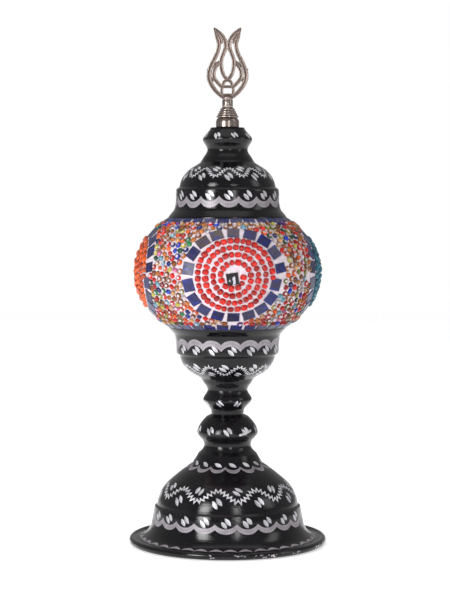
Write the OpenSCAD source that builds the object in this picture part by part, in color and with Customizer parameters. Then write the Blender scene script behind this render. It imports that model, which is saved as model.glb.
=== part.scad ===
// Turkish mosaic glass table lamp: spun metal stand, mosaic globe, spun cap and tulip finial.
// Millimetres. The stand rests on z = 0, the lamp's axis is Z and its front faces -Y.

/* [Base] */
// Radius of the base at its rolled rim
base_r = 87.2; // [86:0.1:90]
// Radius of the wire that the rim is rolled round
rim_wire_r = 3.0; // [2.5:0.1:3.2]
// Height of the seam between the base's neck and the gallery
seam_z = 114; // [113.5:0.1:116]
// Thickness of the spun sheet
sheet = 1.0; // [0.8:0.1:1.2]
// Thickness of the felt under the base
felt_t = 1.2; // [1:0.1:1.5]
// Thickness of the board that closes the base
board_t = 3.0; // [2.5:0.1:3.1]

/* [Gallery and cap] */
// Height of the gallery's lip, where the globe sits
gallery_lip_z = 192; // [190:0.5:194]
// Height of the cap's lip
cap_lip_z = 287; // [285:0.5:289]
// Height of the cap from its lip to its top
cap_h = 79; // [76:0.5:82]
// How much the gallery is squeezed in height beside the cap
squeeze = 0.94; // [0.92:0.01:0.96]
// Radius of the crown's lip
lip_r = 51.9; // [51:0.1:53]

/* [Globe] */
// Radius of the bare glass at its equator
glass_a = 79; // [78:0.5:80]
// Half height of the glass ellipsoid before its mouths are cut
glass_b = 60; // [59:0.5:61]
// Thickness of the glass
glass_t = 3; // [2.5:0.1:3.5]
// Half height of the glass between its two mouths
mouth_h = 49.7; // [49:0.1:50]
// Thickness of the grout over the glass
grout_t = 1.7; // [1.4:0.1:2]
// Half height of the mosaic
mosaic_h = 47.2; // [46.5:0.1:47.2]

/* [Mosaic] */
// Side of a square tile
tile = 10; // [9:0.1:10.4]
// Thickness of a tile
tile_t = 2.2; // [2:0.1:2.6]
// Tiles in the ring round a medallion
ring_tiles = 18; // [16:1:19]
// Mean distance from a medallion's centre to the middle of its tiles, over the surface
ring_r = 39.8; // [39:0.1:40.4]
// How far the tile ring winds inwards on its way round a medallion
spiral_step = 5; // [0:0.1:5.4]
// How far a tile ring's middle lies right of and above its medallion's middle tile
ring_shift = 1.3; // [0:0.1:1.6]
// Height of the medallions' centres above the globe's equator
medallion_dz = -2.5; // [-4:0.1:0]
// Turn of the front medallion about the lamp's axis
medallion_turn = 3; // [-5:0.5:5]
// Tiles in the rings beside the cap and the gallery
border_tiles = 30; // [28:1:31]
// Distance of those rings from the equator, over the surface
border_v = 56; // [55.6:0.1:56.1]
// Height of a tile in those rings
border_h = 7.6; // [6:0.1:7.8]

/* [Electrical] */
// Outer radius of the M10 threaded tube
tube_r = 5; // [5:0.1:5.2]
// Bore radius of the threaded tube
tube_bore_r = 3.6; // [3.4:0.1:3.8]
// Radius of the lampholder
holder_r = 13.5; // [13:0.1:14]
// Radius of the bulb's screw cap
bulb_cap_r = 6.85; // [6.8:0.01:6.9]
// Radius of the bulb's glass
bulb_r = 22.5; // [20:0.5:23]
// Bore radius of the grommet where the cord comes in
cord_bore_r = 3.2; // [3:0.1:3.5]

/* [Finial] */
// Radius of the finial's stud
stud_r = 2.95; // [2.9:0.01:2.97]
// Thickness of the tulip's plate
tulip_t = 4.2; // [3.5:0.1:5]
// Radius of the tulip's stem
stem_r = 4.65; // [4.3:0.05:4.9]

/* [Hidden] */
$fn = 96;

globe_z = (gallery_lip_z + cap_lip_z) / 2;
board_z = felt_t;
rim_z = 0.4 + rim_wire_r;                   // middle of the rolled rim, which stands just off the table
rim_x = base_r - rim_wire_r;
cap_top_z = cap_lip_z + cap_h;
mount_hole_r = tube_r + 0.1;                // holes in the sheet that the tube passes
nut_t = 4;
washer_t = 1.5;
hex_r = 8.08;                               // corner radius of a hexagon 14 across its flats
thread_play = 0.03;                         // between a plain nut bore and the thread it runs on
grommet_z = 23.3;
grommet_y = 66;                             // where the base's back wall stands at the grommet
tube_z0 = 88;
tube_z1 = 165;
holder_z = 157;                             // underside of the lampholder
socket_z = 178;                             // underside of the lampholder's skirt
bulb_z = 183;                               // tip of the bulb
bulb_mid_z = bulb_z + 48;
ferrule_z = cap_top_z + 0.1;
ferrule_h = 17.2;
tulip_z = ferrule_z + ferrule_h + 0.1;
pivot_r = 2.0;                              // spigot of the tulip in the ferrule
stud_top_z = cap_top_z + 10;

// ---- outlines ----

function knot(p, i) = p[max(0, min(len(p) - 1, i))];

// A Catmull-Rom curve through points p, at share t of the way from point i to the next.
function curve_at(p, i, t) =
    0.5 * (2 * knot(p, i)
        + (knot(p, i + 1) - knot(p, i - 1)) * t
        + (2 * knot(p, i - 1) - 5 * knot(p, i) + 4 * knot(p, i + 1) - knot(p, i + 2)) * t * t
        + (3 * knot(p, i) - knot(p, i - 1) - 3 * knot(p, i + 1) + knot(p, i + 2)) * t * t * t);

function smooth_line(p, n) =
    concat([for (i = [0 : len(p) - 2]) for (k = [0 : n - 1]) curve_at(p, i, k / n)],
        [p[len(p) - 1]]);

function arc(x, z, r, from, to, n) =
    [for (k = [0 : n]) let (a = from + (to - from) * k / n) [x + r * cos(a), z + r * sin(a)]];

function backwards(p) = [for (i = [len(p) - 1 : -1 : 0]) p[i]];

function unit(v) = v / norm(v);

// A line moved sideways by t, to the left of its direction.
function inset(p, t) =
    [for (i = [0 : len(p) - 1])
        let (d = unit(knot(p, i + 1) - knot(p, i - 1))) p[i] + t * [-d[1], d[0]]];

// Outer face of the crown that the cap and the gallery are spun to: [radius, height over the lip].
crown_lip = smooth_line([[lip_r, 0], [lip_r - 0.5, 1.6], [49, 4.6], [46.8, 7.4], [45.6, 11.5],
    [45.1, 16], [45.1, 23], [44.5, 25.4], [42.5, 26.8]], 3);
crown_bell = smooth_line([[42.1, 27.6], [41.3, 31], [39.6, 35], [36.4, 39.4], [32.2, 43.2],
    [27.4, 46.2], [23.8, 48.6]], 3);
crown_knob = smooth_line([[22.7, 50.2], [20.8, 53.6], [18.8, 56.4], [17.6, 59.6], [18.5, 62.6],
    [20.6, 66], [21.6, 68.8], [20.6, 71.2], [17.8, 74.4], [15.6, 77], [14.6, 79]], 3);
crown = concat(crown_lip, crown_bell, crown_knob);

function crown_line(k, h) = [for (p = crown) [p[0], p[1] * k * h / 79]];

// Outer face of the base from its groove up to the top of its neck.
base_foot = smooth_line([[79.8, 5.5], [77.4, 6.1], [73.6, 7.9], [70.4, 11.2], [68.2, 15.4],
    [66.8, 19.5], [65.9, 24], [65.3, 29], [64.4, 33.2]], 3);
base_bell = smooth_line([[62.4, 35], [61.8, 38.3], [60.5, 42.2], [58.2, 47], [54.7, 51.8],
    [50.9, 55.6]], 3);
base_shoulder = smooth_line([[49.2, 57.2], [46, 59.8], [41.6, 63.4], [37, 66.7], [32.8, 69.6]], 3);
base_step = smooth_line([[30.8, 71.2], [29.2, 73.8], [27.4, 76.8], [26, 79.4]], 3);
base_neck = smooth_line([[24.4, 80.9], [22, 83.4], [20.7, 87], [21.9, 91], [24.9, 94.4],
    [27, 97.8], [26.2, 101.6], [24.2, 105.4], [21.3, 109.2], [18.4, 112.2]], 3);
base_crown = [[16, 113.4], [14.6, seam_z]];
base_face = concat(base_foot, base_bell, base_shoulder, base_step, base_neck, base_crown);

module ring(r_out, r_in, z0, z1) {
    difference() {
        translate([0, 0, z0]) cylinder(r = r_out, h = z1 - z0);
        translate([0, 0, z0 - 1]) cylinder(r = r_in, h = z1 - z0 + 2);
    }
}

module hex_nut(corner_r, bore_r, z0, z1) {
    difference() {
        translate([0, 0, z0]) cylinder(r = corner_r, h = z1 - z0, $fn = 6);
        translate([0, 0, z0 - 1]) cylinder(r = bore_r + thread_play, h = z1 - z0 + 2);
    }
}

// ---- the stand ----

module base_shell() color([0.12, 0.11, 0.13]) {
    bead = arc(rim_x, rim_z, rim_wire_r, -195, 138, 24);
    outline = concat(bead, base_face, [[mount_hole_r, seam_z], [mount_hole_r, seam_z - sheet]],
        backwards(inset(base_face, sheet)));
    difference() {
        rotate_extrude() polygon(outline);
        translate([0, grommet_y - 8, grommet_z]) rotate([-90, 0, 0]) cylinder(r = 5, h = 16);
    }
}

module base_board() color([0.55, 0.42, 0.28])
    translate([0, 0, board_z]) cylinder(r = rim_x - rim_wire_r - 0.3, h = board_t);

module felt_pad() color([0.1, 0.24, 0.16]) cylinder(r = rim_x - rim_wire_r - 1.2, h = felt_t);

// Rubber grommet in the back wall: two flanges with a neck between them, bored for the cord.
module cord_grommet() color([0.08, 0.08, 0.08])
    translate([0, grommet_y, grommet_z]) rotate([-90, 0, 0]) rotate_extrude()
        polygon([[cord_bore_r, -4], [5.8, -4], [6.8, -3], [6.8, -2], [4.95, -1.6], [4.95, 1],
            [6.8, 1.2], [6.6, 2.6], [5, 4], [cord_bore_r, 4]]);

module threaded_tube() color([0.75, 0.7, 0.55]) ring(tube_r, tube_bore_r, tube_z0, tube_z1);

// Plastic bushing that keeps the tube's lower edge off the cord.
module tube_bushing() color([0.9, 0.9, 0.88]) rotate_extrude()
    polygon([[3, tube_z0 - 2.5], [6.5, tube_z0 - 2.5], [6.5, tube_z0], [tube_bore_r - 0.05, tube_z0],
        [tube_bore_r - 0.05, tube_z0 + 6], [3, tube_z0 + 6]]);

module base_washer() color([0.7, 0.7, 0.72])
    ring(10, tube_r + 0.2, seam_z - sheet - washer_t, seam_z - sheet);

module base_nut() color([0.78, 0.72, 0.5]) {
    top = seam_z - sheet - washer_t;
    hex_nut(hex_r, tube_r, top - nut_t, top);
}

// ---- the gallery ----

module gallery_cup() color([0.12, 0.11, 0.13]) {
    face = [for (p = crown_line(squeeze, 79)) [p[0], gallery_lip_z - p[1]]];
    foot = [[14.3, seam_z + 1.6], [13.9, seam_z]];
    outer = concat(face, foot);
    rotate_extrude() polygon(concat(outer, [[mount_hole_r, seam_z], [mount_hole_r, seam_z + sheet]],
        backwards(inset(outer, -sheet))));
}

module gallery_washer() color([0.7, 0.7, 0.72])
    ring(10, tube_r + 0.2, seam_z + sheet, seam_z + sheet + washer_t);

module gallery_nut() color([0.78, 0.72, 0.5]) {
    z0 = seam_z + sheet + washer_t;
    hex_nut(hex_r, tube_r, z0, z0 + nut_t);
}

// Felt ring on the flare inside a crown's lip, as [radius, height from the lip] from its two ends.
gasket_in = [45.3, -5.1];
gasket_out = [48.6, -1.8];
gasket_t = 1.1;

module gasket(z, up) {
    side = gasket_t * unit([-(gasket_out[1] - gasket_in[1]), gasket_out[0] - gasket_in[0]]);
    line = [gasket_in, gasket_out, gasket_out + side, gasket_in + side];
    rotate_extrude() polygon([for (p = line) [p[0], z + up * p[1]]]);
}

module gallery_gasket() color([0.85, 0.83, 0.78]) gasket(gallery_lip_z, 1);

// ---- the lampholder ----

module holder_locknut() color([0.78, 0.72, 0.5]) hex_nut(hex_r, tube_r, holder_z - nut_t, holder_z);

module holder_dome() color([0.1, 0.1, 0.1]) rotate_extrude()
    polygon(concat([[tube_r + 0.05, holder_z], [8.5, holder_z]],
        arc(8.5, holder_z + 7, 5, -60, 0, 6),
        [[holder_r, socket_z], [11.8, socket_z], [11.8, holder_z + 10], [9, holder_z + 8.5],
            [tube_r + 0.05, holder_z + 8.5]]));

module terminal_block() color([0.92, 0.9, 0.85]) difference() {
    translate([0, 0, socket_z - 6]) cylinder(r = 11.4, h = 8);
    for (side = [-1, 1])
        translate([side * 7.5, 0, socket_z - 7]) cylinder(r = 1.6, h = 5);
    translate([0, 0, socket_z - 7]) cylinder(r = 1.2, h = 10);
}

module terminal_screws() color([0.82, 0.75, 0.5])
    for (side = [-1, 1])
        translate([side * 7.5, 0, socket_z - 8.2]) {
            cylinder(r = 1.55, h = 6.1);
            cylinder(r = 2.6, h = 2);
        }

module holder_skirt() color([0.1, 0.1, 0.1]) {
    ring(holder_r, 11.8, socket_z, socket_z + 28);
    ring(14.2, holder_r - 0.5, socket_z + 18, socket_z + 21);
}

module screw_shell() color([0.85, 0.7, 0.4]) ring(7.7, 6.95, socket_z + 6, socket_z + 24);

// Sprung tongue that presses on the bulb's tip, on a rivet through the block.
module centre_contact() color([0.85, 0.7, 0.4]) {
    translate([0, 0, socket_z - 4]) cylinder(r = 1.15, h = 7);
    translate([-4, -1.6, socket_z + 2.9]) cube([8, 3.2, 0.7]);
    translate([0, 0, socket_z + 3.5]) cylinder(r = 1.6, h = 1.2);
}

// ---- the bulb ----

module bulb_tip() color([0.75, 0.75, 0.75]) translate([0, 0, bulb_z]) cylinder(r1 = 1.8, r2 = 2.6, h = 1.6);

module bulb_insulator() color([0.05, 0.05, 0.06])
    translate([0, 0, bulb_z + 1.6]) cylinder(r1 = 3.2, r2 = 5.6, h = 3);

module bulb_cap() color([0.85, 0.75, 0.5]) difference() {
    translate([0, 0, bulb_z + 4.6]) cylinder(r = bulb_cap_r, h = 18);
    translate([0, 0, bulb_z + 5.4]) cylinder(r = bulb_cap_r - 0.5, h = 18);
}

// Round envelope that narrows to the neck held in the screw cap.
bulb_neck = smooth_line([[6.1, -28], [6.3, -25], [9, -22.4], [13.6, -18.6]], 3);
bulb_face = concat(bulb_neck, arc(0, 0, bulb_r, -48, 90, 18));

module bulb_glass() color([0.95, 0.93, 0.88, 0.5]) {
    outer = [for (p = bulb_face) [max(0, p[0]), bulb_mid_z + p[1]]];
    inner = [for (p = inset(bulb_face, 0.8)) [max(0, p[0]), bulb_mid_z + p[1]]];
    rotate_extrude() polygon(concat(outer, backwards(inner)));
}

module bulb_stem() color([0.85, 0.88, 0.9, 0.6]) {
    translate([0, 0, bulb_mid_z - 26]) cylinder(r1 = 4.6, r2 = 2.2, h = 12);
    translate([0, 0, bulb_mid_z - 14]) cylinder(r = 1.4, h = 12);
}

module bulb_filament() color([0.4, 0.4, 0.42]) {
    for (side = [-1, 1])
        translate([side * 6.6, 0, bulb_mid_z - 13]) cylinder(r = 0.35, h = 13.4);
    for (side = [-1, 1])
        translate([0, 0, bulb_mid_z - 12.7]) rotate([0, side * 90, 0])
            translate([0, 0, 1.2]) cylinder(r = 0.35, h = 5.4);
    translate([0, 0, bulb_mid_z + 0.4]) rotate_extrude(angle = 180) translate([6.6, 0]) circle(r = 0.5);
}

// ---- the globe ----

// Wall of the ellipsoid with half axes a and b, t thick inwards, cut at height h on both sides.
module ellipsoid_wall(a, b, t, h) {
    out_end = asin(h / b);
    in_end = asin(h / (b - t));
    outer = [for (k = [-24 : 24]) let (e = out_end * k / 24) [a * cos(e), globe_z + b * sin(e)]];
    inner = [for (k = [24 : -1 : -24])
        let (e = in_end * k / 24) [(a - t) * cos(e), globe_z + (b - t) * sin(e)]];
    rotate_extrude() polygon(concat(outer, inner));
}

module globe_glass() color([0.9, 0.95, 0.95, 0.4]) ellipsoid_wall(glass_a, glass_b, glass_t, mouth_h);

module mosaic_grout() color([0.86, 0.82, 0.84])
    ellipsoid_wall(glass_a + grout_t, glass_b + grout_t, grout_t, mosaic_h);

surface_a = glass_a + grout_t;
surface_b = glass_b + grout_t;
centre_turn = 8;                            // the middle tiles sit a little askew
border_turn = 2;
tile_proud = 0.6;                           // how far a tile's face stands out of the grout

// Ellipse parameter at meridional distance v from the equator, by a short series.
function latitude(v) =
    let (x = v / surface_b, k = (surface_a * surface_a - surface_b * surface_b) / 6)
    (x - k / (surface_b * surface_b) * x * x * x) * 180 / PI;

// Puts its children on the mosaic's surface: x runs outwards, y along the parallel, z upwards.
module on_surface(azimuth, v, u = 0) {
    e = latitude(v);
    r = surface_a * cos(e);
    tilt = atan2(surface_a * sin(e), surface_b * cos(e));
    rotate([0, 0, azimuth + u / r * 180 / PI])
        translate([r, 0, globe_z + surface_b * sin(e)])
            rotate([0, -tilt, 0]) children();
}

module square_tile(w, h) translate([tile_proud - tile_t, -w / 2, -h / 2]) cube([tile_t, w, h]);

module medallion_tiles(azimuth) color([0.2, 0.22, 0.45])
    for (k = [0 : ring_tiles - 1]) {
        a = 360 / ring_tiles * (k + 0.5);
        d = ring_r + spiral_step * (0.5 - k / ring_tiles);
        on_surface(azimuth, medallion_dz + ring_shift + d * sin(a), ring_shift + d * cos(a))
            rotate([a, 0, 0]) square_tile(tile, tile);
    }

front = -90 + medallion_turn;

module medallion_tiles_front() medallion_tiles(front);
module medallion_tiles_right() medallion_tiles(front + 90);
module medallion_tiles_back() medallion_tiles(front + 180);
module medallion_tiles_left() medallion_tiles(front + 270);

module centre_tiles() color([0.08, 0.08, 0.1])
    for (q = [0 : 3])
        on_surface(front + 90 * q, medallion_dz) rotate([centre_turn, 0, 0]) square_tile(tile, tile);

module border_ring(v) color([0.2, 0.22, 0.45])
    for (k = [0 : border_tiles - 1])
        on_surface(360 / border_tiles * k + border_turn, v) square_tile(tile * 0.96, border_h);

module upper_tile_ring() border_ring(border_v);
module lower_tile_ring() border_ring(-border_v);

// ---- the cap ----

module top_cap() color([0.12, 0.11, 0.13]) {
    face = [for (p = crown_line(1, cap_h)) [p[0], cap_lip_z + p[1]]];
    rotate_extrude() polygon(concat(face, [[stud_r + 0.2, cap_top_z], [stud_r + 0.2, cap_top_z - sheet]],
        backwards(inset(face, sheet))));
}

module cap_gasket() color([0.85, 0.83, 0.78]) gasket(cap_lip_z, -1);

module finial_stud() color([0.7, 0.7, 0.72])
    translate([0, 0, cap_top_z - 12]) cylinder(r = stud_r, h = stud_top_z - cap_top_z + 12);

module stud_washer() color([0.7, 0.7, 0.72])
    ring(8, stud_r + 0.2, cap_top_z - sheet - washer_t, cap_top_z - sheet);

module stud_nut() color([0.7, 0.7, 0.72]) {
    top = cap_top_z - sheet - washer_t;
    hex_nut(5.77, stud_r, top - nut_t, top);
}

// Ribbed nickel dome: a smooth band below, four ribs above.
module finial_ferrule() color([0.72, 0.66, 0.62]) {
    ribs = [for (k = [0 : 3]) each arc(8.6 - k * 1.05, 9.4 + k * 2, 1.05, -50, 60, 5)];
    outline = concat([[stud_r + 0.05, 0], [9.6, 0], [10.1, 0.6], [10.1, 5.4], [9.4, 7.4], [8.4, 7.8]],
        ribs, [[5.2, ferrule_h], [pivot_r + 0.05, ferrule_h], [pivot_r + 0.05, 11.4],
            [stud_r + 0.05, 11.2]]);
    translate([0, 0, ferrule_z]) rotate_extrude() polygon(outline);
}

// Left half of the tulip's outline from its stem to the notch between its tips: [x, height].
tulip_side = concat(
    smooth_line([[-4.4, 7.5], [-5.6, 8.9], [-9.3, 11.7], [-13.5, 16.4], [-16.7, 22.4],
        [-17.6, 28.3], [-17.4, 32]], 3),
    smooth_line([[-17.3, 33.6], [-15.3, 39], [-11.7, 46.1], [-9, 53.3], [-8.4, 58], [-9, 61.6],
        [-10.5, 65.8], [-11.9, 69.2]], 3),
    smooth_line([[-11.2, 69.6], [-6.3, 66.4], [-2.4, 62.2], [0, 57.1]], 3));

function mirrored(p) = backwards([for (q = p) [-q[0], q[1]]]);

almond = [[0, 47.3], [2.3, 43], [3.9, 36.9], [2.6, 31], [0, 26.8], [-2.6, 31], [-3.9, 36.9],
    [-2.3, 43]];
upper_slot = [[-4.5, 56.2], [-5, 52.1], [-6.9, 47.3], [-9.6, 42.6], [-11.7, 37.8], [-12.4, 34.8],
    [-9.3, 37.2], [-7, 39.3], [-6.9, 42.6], [-5.6, 47.3], [-3.4, 50.9], [-3.2, 54.5]];
side_leaf = [[-7.6, 33.5], [-9.9, 28.9], [-8.7, 25.3], [-6.2, 22.7], [-3.4, 26.2], [-5.6, 29.5]];
lower_slot = [[-12.2, 20.9], [-10.5, 21.2], [-7.6, 17.3], [-8, 15.5], [-9.8, 16.4]];

module both_sides(p) {
    polygon(p);
    mirror([1, 0]) polygon(p);
}

module tulip_outline() difference() {
    polygon(concat(tulip_side, mirrored(tulip_side)));
    polygon(almond);
    both_sides(upper_slot);
    both_sides(side_leaf);
    both_sides(lower_slot);
    polygon(concat([[-2.7, 20]], arc(0, 20, 2.8, 170, 10, 8), [[2.7, 20]]));
    translate([-4, 12.6]) square([8, 3.8]);
}

module finial_tulip() color([0.72, 0.66, 0.62]) translate([0, 0, tulip_z]) {
    translate([0, tulip_t / 2, 0]) rotate([90, 0, 0]) linear_extrude(height = tulip_t) tulip_outline();
    cylinder(r = stem_r, h = 9.2);
    translate([0, 0, -5.6]) cylinder(r = pivot_r, h = 6);
}

base_shell();
base_board();
felt_pad();
cord_grommet();
threaded_tube();
tube_bushing();
base_washer();
base_nut();
gallery_cup();
gallery_washer();
gallery_nut();
gallery_gasket();
holder_locknut();
holder_dome();
terminal_block();
terminal_screws();
holder_skirt();
screw_shell();
centre_contact();
bulb_cap();
bulb_insulator();
bulb_tip();
bulb_glass();
bulb_stem();
bulb_filament();
globe_glass();
mosaic_grout();
medallion_tiles_front();
medallion_tiles_right();
medallion_tiles_back();
medallion_tiles_left();
centre_tiles();
upper_tile_ring();
lower_tile_ring();
top_cap();
cap_gasket();
finial_stud();
stud_washer();
stud_nut();
finial_ferrule();
finial_tulip();
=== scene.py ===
import math

import bpy
import numpy as np
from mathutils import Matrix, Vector


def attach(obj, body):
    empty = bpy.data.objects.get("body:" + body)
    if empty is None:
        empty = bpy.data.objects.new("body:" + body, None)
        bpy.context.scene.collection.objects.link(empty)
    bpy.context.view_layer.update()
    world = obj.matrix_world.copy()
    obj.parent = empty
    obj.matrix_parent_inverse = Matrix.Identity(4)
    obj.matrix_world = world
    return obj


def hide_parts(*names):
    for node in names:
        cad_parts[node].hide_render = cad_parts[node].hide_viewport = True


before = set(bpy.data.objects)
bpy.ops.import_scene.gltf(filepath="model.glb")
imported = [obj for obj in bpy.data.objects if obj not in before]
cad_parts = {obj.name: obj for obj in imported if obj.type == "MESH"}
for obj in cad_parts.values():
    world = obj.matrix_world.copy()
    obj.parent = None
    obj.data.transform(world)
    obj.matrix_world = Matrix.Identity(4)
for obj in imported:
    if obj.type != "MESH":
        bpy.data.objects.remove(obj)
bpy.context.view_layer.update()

# A Turkish mosaic table lamp. Shapes are worked out in millimetres, with Z up and the front towards -Y.

mm = 0.001
dice = np.random.default_rng(11)


def tone(red, green, blue):
    # a display colour, each part 0 to 255, as the linear colour that shaders take
    return tuple(c / 3294.6 if c < 10.3 else ((c / 255 + 0.055) / 1.055) ** 2.4
                 for c in (red, green, blue))


# Paint: materials written as expressions.

class Wire:
    # an output socket that takes arithmetic, one Math node an operator
    def __init__(self, bench, socket):
        self.bench = bench
        self.socket = socket

    def math(self, operation, *values):
        return self.bench.node("ShaderNodeMath", {"operation": operation}, values)

    def __add__(self, other):
        return self.math("ADD", self, other)

    __radd__ = __add__

    def __sub__(self, other):
        return self.math("SUBTRACT", self, other)

    def __rsub__(self, other):
        return self.math("SUBTRACT", other, self)

    def __mul__(self, other):
        return self.math("MULTIPLY", self, other)

    __rmul__ = __mul__

    def __pow__(self, other):
        return self.math("POWER", self, other)

    def __rpow__(self, other):
        return self.math("POWER", other, self)

    def over(self, limit):
        return self.math("GREATER_THAN", self, limit)

    def under(self, limit):
        return self.math("LESS_THAN", self, limit)


class Bench:
    # a node tree, and the one way that nodes are added to it
    def __init__(self, tree):
        self.tree = tree

    def plug(self, target, value):
        if isinstance(value, Wire):
            self.tree.links.new(value.socket, target)
        elif isinstance(value, tuple) and len(target.default_value) == 4:
            target.default_value = (*value, 1.0)
        else:
            target.default_value = value

    def node(self, kind, settings=None, values=(), out=0):
        made = self.tree.nodes.new(kind)
        for key, value in (settings or {}).items():
            setattr(made, key, value)
        for key, value in (values.items() if isinstance(values, dict) else enumerate(values)):
            self.plug(made.inputs[key], value)
        return Wire(self, made.outputs[out])


class Paint(Bench):
    # one material with its Principled shader
    def __init__(self, name, **fixed):
        self.material = bpy.data.materials.new(name)
        self.material.use_nodes = True
        super().__init__(self.material.node_tree)
        self.shader = self.tree.nodes["Principled BSDF"]
        self.place = self.node("ShaderNodeTexCoord", out="Object")
        for key, value in fixed.items():
            self.shader.inputs[key.replace("_", " ")].default_value = value

    def noise(self, scale, detail=3.0, place=None):
        return self.node("ShaderNodeTexNoise", None,
                         {"Vector": place or self.place, "Scale": scale, "Detail": detail})

    def stretch(self, amounts):
        return self.node("ShaderNodeMapping", {"vector_type": "POINT"},
                         {"Vector": self.place, "Scale": amounts})

    def mix(self, factor, first, second, way="MIX"):
        return self.node("ShaderNodeMix", {"data_type": "RGBA", "blend_type": way},
                         {0: factor, 6: first, 7: second}, 2)

    def fade(self, value, low, high):
        # 0 at low and 1 at high
        return self.node("ShaderNodeMapRange", None, (value, low, high, 0.0, 1.0))

    def tint(self, out="Color"):
        return self.node("ShaderNodeAttribute", {"attribute_name": "tint"}, (), out)

    def axis(self, letter):
        return self.node("ShaderNodeSeparateXYZ", None, (self.place,), letter)

    def radius(self):
        x, y = self.axis("X"), self.axis("Y")
        return (x * x + y * y) ** 0.5

    def bump(self, height, distance, under=None):
        values = {"Height": height, "Distance": distance, "Strength": 1.0}
        if under:
            values["Normal"] = under
        return self.node("ShaderNodeBump", None, values)

    def finish(self, **sockets):
        for key, value in sockets.items():
            self.plug(self.shader.inputs[key.replace("_", " ")], value)
        return self


class Shape:
    # gathers points in millimetres, faces and a colour for each point, then becomes one object
    def __init__(self):
        self.points = []
        self.faces = []
        self.tints = []

    def add(self, points, faces, tints):
        start = len(self.points)
        self.points.extend(points)
        self.faces.extend([tuple(start + i for i in face) for face in faces])
        self.tints.extend(tints if isinstance(tints, list) else [tints] * len(points))

    def build(self, name, paint, body, slotName, stands=(), smooth=True):
        mesh = bpy.data.meshes.new(name)
        mesh.from_pydata([(p[0] * mm, p[1] * mm, p[2] * mm) for p in self.points], [], self.faces)
        colours = mesh.color_attributes.new("tint", "FLOAT_COLOR", "POINT")
        flat = np.ones((len(self.points), 4))
        flat[:, :3] = np.array(self.tints)
        colours.data.foreach_set("color", flat.ravel())
        mesh.polygons.foreach_set("use_smooth", [smooth] * len(mesh.polygons))
        mesh.materials.append(paint.material)
        obj = bpy.data.objects.new(name, mesh)
        bpy.context.scene.collection.objects.link(obj)
        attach(obj, body)
        if stands:
            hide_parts(*stands)
        return obj


def sheetFaces(rows, columns, closeRows=False, closeColumns=False):
    # the four-sided faces of a grid of points that is stored row by row
    faces = []
    for i in range(rows if closeRows else rows - 1):
        for j in range(columns if closeColumns else columns - 1):
            k, m = (i + 1) % rows, (j + 1) % columns
            faces.append((i * columns + j, i * columns + m, k * columns + m, k * columns + j))
    return faces


def smoothLine(points, steps):
    # a Catmull-Rom curve through the points
    line = []
    for i in range(len(points) - 1):
        a, b, c, d = (np.array(points[max(0, min(len(points) - 1, k))], float)
                      for k in range(i - 1, i + 3))
        for k in range(steps):
            t = k / steps
            line.append(0.5 * (2 * b + (c - a) * t + (2 * a - 5 * b + 4 * c - d) * t * t
                               + (3 * b - a - 3 * c + d) * t ** 3))
    line.append(np.array(points[-1], float))
    return line


def dress(paint, *names):
    # a finer material for CAD nodes that stay as they are
    for name in names:
        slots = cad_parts[name].material_slots
        for place in slots:
            place.material = paint.material


# The enamelled spun metal.
enamelLook = {
    "black": tone(10, 9, 12),
    "haze": tone(27, 24, 29),        # where the gloss has gone cloudy
    "bare": tone(198, 190, 196),     # metal under a chip
    "roughness": 0.05,
    "ringDepth": 0.00003,
    "peelDepth": 0.000006,
}


def enamelPaint(name, chipBelow=0.0):
    paint = Paint(name, IOR=1.4)
    height = paint.axis("Z")
    radius = paint.radius()
    toolPath = (height - radius) * 620.0
    rings = paint.node("ShaderNodeTexNoise", {"noise_dimensions": "1D"}, {"W": toolPath, "Detail": 2.5})
    peel = paint.noise(1300, 2)
    cloud = paint.fade(paint.noise(38, 4), 0.45, 0.75)
    specks = paint.fade(paint.noise(900, 2), 0.70, 0.74)
    colour = paint.mix(cloud * 0.55, enamelLook["black"], enamelLook["haze"])
    colour = paint.mix(specks * 0.25, colour, tone(110, 104, 112))
    roughness = enamelLook["roughness"] + cloud * 0.08 + specks * 0.3
    relief = paint.bump(peel, enamelLook["peelDepth"], paint.bump(rings, enamelLook["ringDepth"]))
    if chipBelow:
        edge = paint.fade(radius, 0.0855, 0.0868) * height.under(chipBelow)
        patches = paint.noise(30, 1).over(0.56)
        chips = paint.noise(420, 3).over(0.585) * edge * patches
        colour = paint.mix(chips, colour, enamelLook["bare"])
        paint.finish(Metallic=chips * 0.9)
        roughness = roughness + chips * 0.25
    return paint.finish(Base_Color=colour, Roughness=roughness, Normal=relief)


enamel = enamelPaint("black enamel")
dress(enamel, "gallery_cup", "top_cap")
dress(enamelPaint("black enamel with a chipped rim", 0.0046), "base_shell")
print("enamel done")


# Engraving, cut through the enamel to the bright metal.
cutLook = {
    "bright": tone(250, 248, 255),
    "satin": tone(176, 169, 176),
    "lift": 0.05,                    # the cut's edge stands just clear of the enamel
    "ridge": 0.16,
}


def cutPaint(name, colour, rough, grain):
    paint = Paint(name, Metallic=0.28)
    scratches = paint.noise(1.0, 3, paint.stretch((grain, grain, grain * 0.35)))
    blotches = paint.noise(160, 3)
    shade = paint.mix(paint.fade(blotches, 0.35, 0.7), tuple(c * 0.72 for c in colour), colour)
    # the tint multiplies in what each cut is given: painted facet shade and glints, hatching, and random
    # tone
    shade = paint.mix(1.0, shade, paint.tint(), "MULTIPLY")
    return paint.finish(Base_Color=shade, Roughness=rough + scratches * 0.2,
                        Normal=paint.bump(scratches, 0.00005))


brightCut = cutPaint("bright diamond cut", cutLook["bright"], 0.16, 2600)
satinCut = cutPaint("satin hatched cut", cutLook["satin"], 0.34, 3400)


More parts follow.
